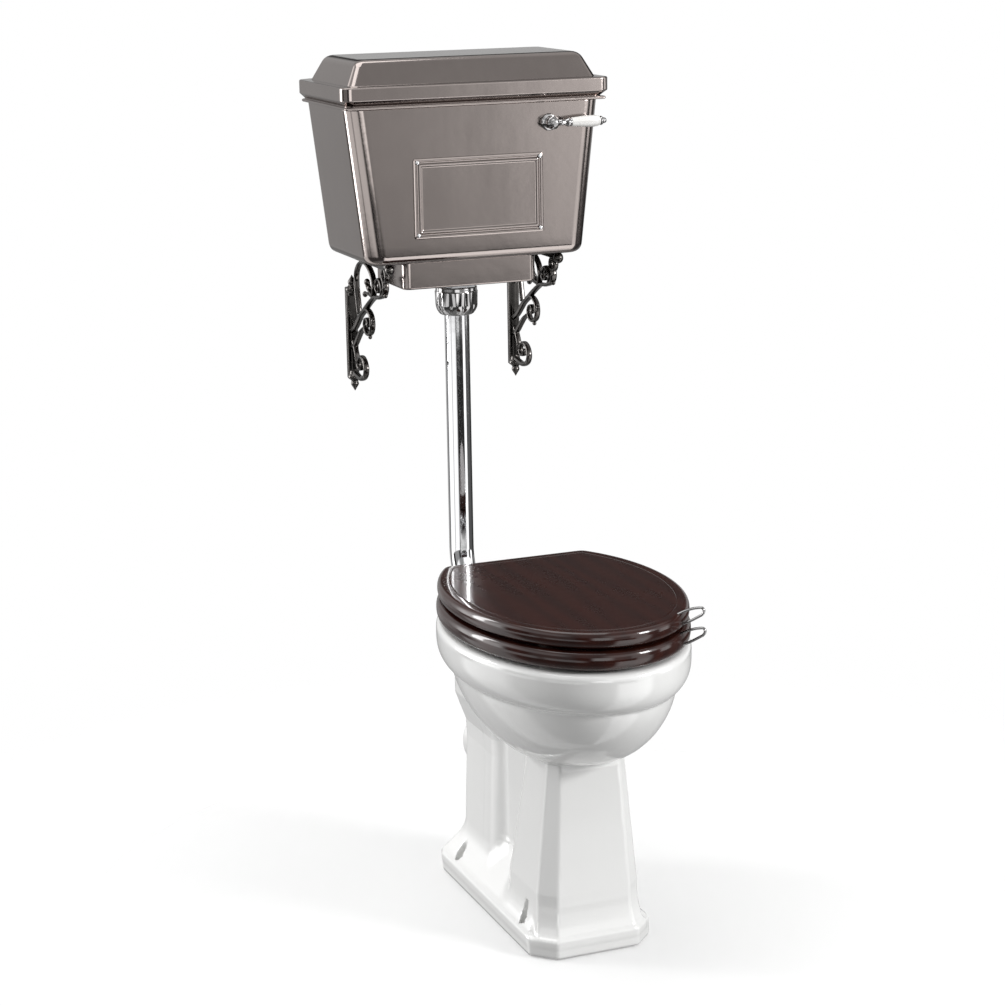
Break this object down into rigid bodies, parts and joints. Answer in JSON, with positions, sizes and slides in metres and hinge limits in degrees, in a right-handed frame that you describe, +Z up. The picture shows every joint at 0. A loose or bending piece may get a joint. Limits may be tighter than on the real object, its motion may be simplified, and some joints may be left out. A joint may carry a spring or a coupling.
{
  "type": "low level toilet",
  "caption": "Floor-standing toilet pan with hinged wooden seat ring and lid, a bent flush pipe, and a lidded metal cistern with a side lever carried above it on scrolled wall brackets.",
  "frame": {"origin": "on the floor, in the middle of the four floor fixings of the pan's foot", "axes": "+Z up, +X to the right of a person facing the pan, -Y towards that person; wall at +Y"},
  "size_m": [0.4416, 0.745, 1.235],
  "materials": {
    "glazed_china": "gloss glaze",
    "mahogany": "gloss lacquer",
    "cistern_metal": "polished",
    "bracket_metal": "polished casting",
    "chrome": "bright",
    "grip_china": "gloss glaze",
    "buffer_rubber": "matte",
    "seal_rubber": "matte",
    "plain_brass": "satin",
    "siphon_plastic": "moulded",
    "float_plastic": "moulded"
  },
  "bodies": {
    "root": {"pan_rim": "glazed_china", "pan_shelf": "glazed_china", "pan_bowl": "glazed_china", "pan_column": "glazed_china", "pan_trunk": "glazed_china", "flush_cone": "seal_rubber", "flush_pipe": "chrome", "pipe_nut": "chrome", "tail_backnut": "plain_brass", "tail_washer": "seal_rubber", "siphon_body": "siphon_plastic", "cistern_tank": "cistern_metal", "plaque": "cistern_metal", "plaque_rivet_low_left": "cistern_metal", "plaque_rivet_low_right": "cistern_metal", "plaque_rivet_high_left": "cistern_metal", "plaque_rivet_high_right": "cistern_metal", "bracket_left": "bracket_metal", "bracket_right": "bracket_metal", "lever_rosette": "chrome", "lever_locknut": "plain_brass", "valve_body": "plain_brass", "valve_backnut": "plain_brass", "arm_pin": "plain_brass", "hinge_pillar_left": "chrome", "hinge_pillar_right": "chrome", "hinge_pad_left": "seal_rubber", "hinge_pad_right": "seal_rubber", "hinge_wing_nut_left": "plain_brass", "hinge_wing_nut_right": "plain_brass", "hinge_rod": "chrome"},
    "ring": {"seat_ring": "mahogany", "ring_handle": "chrome", "ring_buffer_front_left": "buffer_rubber", "ring_buffer_front_right": "buffer_rubber", "ring_buffer_rear_left": "buffer_rubber", "ring_buffer_rear_right": "buffer_rubber", "ring_strap_left": "chrome", "ring_strap_right": "chrome"},
    "lid": {"seat_lid": "mahogany", "lid_handle": "chrome", "lid_buffer_front_left": "buffer_rubber", "lid_buffer_front_right": "buffer_rubber", "lid_buffer_rear_left": "buffer_rubber", "lid_buffer_rear_right": "buffer_rubber", "lid_strap_left": "chrome", "lid_strap_right": "chrome"},
    "lever": {"lever_spindle": "chrome", "lever_hub": "chrome", "lever_ferrule": "chrome", "lever_grip": "grip_china", "lever_tip": "chrome", "lever_crank": "plain_brass"},
    "plunger": {"siphon_plunger": "siphon_plastic", "siphon_flap": "seal_rubber", "lift_link": "plain_brass"},
    "float": {"float_arm": "plain_brass", "float_ball": "float_plastic"},
    "piston": {"valve_piston": "plain_brass"},
    "cover": {"cistern_lid": "cistern_metal"}
  },
  "joints": [
    {"name": "seat_hinge", "type": "hinge", "parent": "root", "child": "ring", "pos_m": [0, 0.112, 0.472], "axis": [1, 0, 0], "range_deg": [-100, 0]},
    {"name": "lid_hinge", "type": "hinge", "parent": "ring", "child": "lid", "pos_m": [0, 0.112, 0.472], "axis": [-1, 0, 0], "range_deg": [0, 100]},
    {"name": "flush_lever", "type": "hinge", "parent": "root", "child": "lever", "pos_m": [0.113, 0.2, 1.135], "axis": [0, 1, 0], "range_deg": [0, 40]},
    {"name": "plunger_lift", "type": "slide", "parent": "root", "child": "plunger", "axis": [0, 0, 1], "range_m": [0, 0.03491]},
    {"name": "float_rise", "type": "hinge", "parent": "root", "child": "float", "pos_m": [0.1306, 0.372, 1.092], "axis": [0, 1, 0], "range_deg": [0, 28]},
    {"name": "valve_shut", "type": "slide", "parent": "root", "child": "piston", "axis": [1, 0, 0], "range_m": [0, 0.00847]},
    {"name": "cistern_lid_lift", "type": "slide", "parent": "root", "child": "cover", "axis": [0, 0, 1], "range_m": [0, 0.06]}
  ],
  "couplings": [
    {"joint": "plunger_lift", "follows": "flush_lever", "m_per_rad": 0.049971},
    {"joint": "valve_shut", "follows": "float_rise", "m_per_rad": 0.017292}
  ]
}
